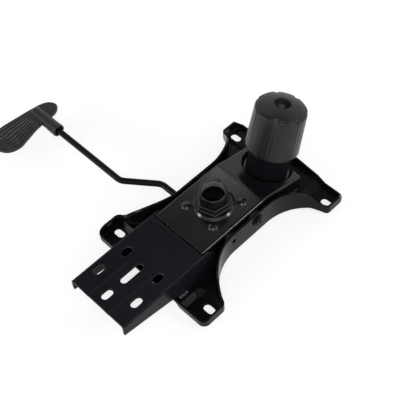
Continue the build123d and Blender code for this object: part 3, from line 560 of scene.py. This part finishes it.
def knob_outline():
    """From the bore's lower edge out, up the side, over the rim and the dome, and down the hole."""
    outline = [(0.0269, 0.0368), (0.0272, 0.0365), (0.0295, 0.0365)]
    low = arc_points((KNOB_FOOT_R - KNOB_FOOT_ROUND, KNOB_FOOT), KNOB_FOOT_ROUND, -90, 0, 7)
    outline += [(r / 1000, h / 1000) for r, h in low]
    coarse = [38.5 + 2.0 * i for i in range(23)]
    fine = [83.5 + 0.55 * i for i in range(14)]
    for h in coarse + fine:
        outline.append(((KNOB_FOOT_R - KNOB_DRAFT * (h - KNOB_FOOT) / KNOB_SIDE) / 1000, h / 1000))
    rim = arc_points(KNOB_RIM, KNOB_RIM_R, 4, 76, 18)
    outline += [(r / 1000, h / 1000) for r, h in rim]
    outer = math.degrees(math.asin(DOME_OUTER_R / DOME_R))
    inner = math.degrees(math.asin(DOME_INNER_R / DOME_R))
    for i in range(DOME_STEPS + 1):
        a = math.radians(outer + (inner - outer) * i / DOME_STEPS)
        outline.append((DOME_R * math.sin(a) / 1000, (CROWN - DOME_R * (1 - math.cos(a))) / 1000))
    return outline + KNOB_HOLE + KNOB_CAVITY


def knob_carved(r, h, angle):
    """Presses the finger grooves and the notches that they end in at the rim into the skin."""
    if r < 0.0215:
        return r, h
    step = 2 * math.pi / GROOVE_COUNT
    off = (angle - math.radians(FIRST_GROOVE) + step / 2) % step - step / 2
    across = r * math.sin(off) * 1000
    out, up = r * math.cos(off) * 1000, h * 1000
    rise = max(0.0, (up - GROOVE_DEEPENS_FROM) / GROOVE_DEEPENS_OVER)
    deep = (GROOVE_DEPTH + GROOVE_DEEPENS * rise) * math.exp(-(across / GROOVE_WIDTH) ** 2)
    if r > 0.0305:
        deep += HOLLOW_DEPTH * math.exp(-((abs(across) - HOLLOW_OFFSET) / HOLLOW_WIDTH) ** 2)
        out -= deep
    inward = (NOTCH_START[0] - out) * NOTCH_RUN[0] + (NOTCH_START[1] - up) * NOTCH_RUN[1]
    floor_line = math.sqrt(max(NOTCH_R ** 2 - across ** 2, 0.0))
    floor_line -= NOTCH_FLANK * max(0.0, abs(across) - NOTCH_R)
    gap = (floor_line - inward) / NOTCH_BLEND
    if gap > -1:
        push = NOTCH_BLEND * (gap if gap > 1 else (gap + 1) ** 2 / 4)
        out -= push * NOTCH_RUN[0]
        up -= push * NOTCH_RUN[1]
    return math.hypot(out, across) / 1000, up / 1000


knob = lathe("knob_moulding", knob_outline(), KNOB_TURNS, STACK, knob_carved)
knob_plastic = surface("knob_moulded", (0.0085, 0.0073, 0.0093), (0.045, 0.042, 0.047), 0.3, 0.38,
                       rub=(0.0008, 200.0, 0.3), grain=(1300.0, 0.00005, 3500.0, 0.00001),
                       patch=(20.0, 240.0, 0.05), worn_rough=0.3, specular=0.28)
knob.data.materials.append(knob_plastic)
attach(knob, "knob")
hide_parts("knob")


# Lever rod: 8 mm round bar, bent twice cold and coated black with the rest. Two spring-steel
# clips on it carry the lock's slider along.
repaint("lever_rod", surface("rod_coat_fine", PAINT, RUBBED, 0.26, 0.34,
                             rub=(0.0008, 300.0, 0.5), specular=0.1))
repaint("rod_clips", surface("clip_steel", OILED, STEEL, 0.35, 0.5, metallic=1.0))


# Lever grip: moulded paddle of black plastic, pushed on the end of the rod. Its boss runs over
# the whole width, and its upper side has lengthwise grooves for the fingers. Sizes are in mm.
GRIP_CORNERS = [(-270, -33), (-280, -36), (-286, -45), (-289, -60), (-291.5, -83), (-293.5, -108),
                (-290, -125), (-280, -134), (-266, -132.5), (-254.5, -124.5), (-250, -110),
                (-253.5, -94), (-258, -77), (-260, -60), (-262, -42)]
GRIP_LOOP_STEPS = 12
GRIP_CENTRE = Vector((-271.5, -84.0))
GRIP_MID_Z = 29.0
GRIP_HALF = 3.4
GRIP_RIM = [(0.0, 1.2), (0.25, 2.2), (0.8, 2.9), (1.8, GRIP_HALF)]
BOSS_WALL = [(0.0002, -0.2838), (0.0046, -0.2838), (0.0064, -0.2830), (0.0074, -0.2810),
             (0.0085, -0.2345), (0.0083, -0.2333), (0.0078, -0.2330), (0.0064, -0.2330),
             (0.0062, -0.2334), (0.0058, -0.2390), (0.0041, -0.2400), (0.0040, -0.2700),
             (0.0002, -0.2701)]
ROD_AXIS = Matrix.Translation((0, -0.060, 0.031)) @ Matrix.Rotation(math.radians(90), 4, "Y")
VOXEL = 0.00045
FINGER_GROOVES = 7
FINGER_DEPTH = 2.1
FINGER_WIDTH = 1.05
FINGER_FRONT_Y = -70.5
FINGER_FRONT_FADE = 2.5
FINGER_REAR_Y = -127.0
FINGER_REAR_FADE = 4.0
grip_plastic = surface("grip_moulded", (0.0095, 0.0080, 0.0105), (0.035, 0.033, 0.037), 0.27, 0.34,
                       rub=(0.001, 200.0, 0.4), grain=(1300.0, 0.00005, 3500.0, 0.00001),
                       patch=(20.0, 240.0, 0.05), worn_rough=0.32, specular=0.34)


def smooth_loop(corners, count):
    """Closed Catmull-Rom curve through the corners, as count points for each of them."""
    points = []
    total = len(corners)
    for k in range(total):
        a, b, c, d = (Vector(corners[(k + i - 1) % total]) for i in range(4))
        for i in range(count):
            t = i / count
            points.append(0.5 * (2 * b + (c - a) * t + (2 * a - 5 * b + 4 * c - d) * t * t
                                 + (3 * b - a - 3 * c + d) * t ** 3))
    return points


GRIP_LOOP = smooth_loop(GRIP_CORNERS, GRIP_LOOP_STEPS)


def grip_sides(y):
    """Left and right side of the paddle at a place along it."""
    crossings = []
    for a, b in zip(GRIP_LOOP, GRIP_LOOP[1:] + GRIP_LOOP[:1]):
        if (a.y > y) != (b.y > y):
            crossings.append(a.x + (b.x - a.x) * (y - a.y) / (b.y - a.y))
    return (min(crossings), max(crossings)) if crossings else (-270.0, -270.0)


def paddle_skin():
    """Closed flat skin of the paddle with rounded rims, as rings that shrink from rim to middle."""
    points = []
    faces = []
    count = len(GRIP_LOOP)
    profile = [(inset, -half) for inset, half in reversed(GRIP_RIM)] + GRIP_RIM
    normals = []
    for k in range(count):
        run = GRIP_LOOP[(k + 1) % count] - GRIP_LOOP[k - 1]
        normals.append(Vector((-run.y, run.x)).normalized())
    turn = 1.0 if normals[0].dot(GRIP_CENTRE - GRIP_LOOP[0]) > 0 else -1.0
    for inset, half in profile:
        for k in range(count):
            at = GRIP_LOOP[k] + normals[k] * turn * inset
            points.append((at.x / 1000, at.y / 1000, (GRIP_MID_Z + half) / 1000))
    for ring in range(len(profile) - 1):
        low = ring * count
        high = low + count
        for k in range(count):
            after = (k + 1) % count
            faces.append((low + k, low + after, high + after, high + k))
    last = (len(profile) - 1) * count
    faces.append(tuple(range(count))[::-1])
    faces.append(tuple(last + k for k in range(count)))
    return mesh_object("grip_paddle", points, faces)


boss = lathe("grip_boss", BOSS_WALL, 72, ROD_AXIS)
grip = paddle_skin()
with bpy.context.temp_override(active_object=grip, selected_editable_objects=[grip, boss]):
    bpy.ops.object.join()
merge = grip.modifiers.new("merge", "REMESH")
merge.mode = "VOXEL"
merge.voxel_size = VOXEL
merge.use_smooth_shade = True
soften = grip.modifiers.new("soften", "SMOOTH")
soften.factor = 0.5
soften.iterations = 5
evaluated = grip.evaluated_get(bpy.context.evaluated_depsgraph_get())
merged = bpy.data.meshes.new_from_object(evaluated)
grip.modifiers.clear()
grip.data = merged


def groove_depth(x, y):
    """Seven finger grooves run from the boss to a plain rim round the paddle's end."""
    left, right = grip_sides(y)
    if right - left < 12:
        return 0.0
    place = (x - left) / (right - left) * (FINGER_GROOVES + 1)
    nearest = min(max(round(place), 1), FINGER_GROOVES)
    across = (place - nearest) * (right - left) / (FINGER_GROOVES + 1)
    front = min(1.0, max(0.0, (FINGER_FRONT_Y - y) / FINGER_FRONT_FADE))
    rear = min(1.0, max(0.0, (y - FINGER_REAR_Y) / FINGER_REAR_FADE))
    return FINGER_DEPTH * front * rear * math.exp(-(across / FINGER_WIDTH) ** 2)


for vertex, normal in zip(merged.vertices, [v.normal.copy() for v in merged.vertices]):
    x, y, z = (c * 1000 for c in vertex.co)
    if normal.z > 0.3 and y < -70 and z > GRIP_MID_Z:
        vertex.co.z -= groove_depth(x, y) / 1000
merged.polygons.foreach_set("use_smooth", [True] * len(merged.polygons))
merged.materials.clear()
merged.materials.append(grip_plastic)
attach(grip, "lever")
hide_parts("lever_grip")
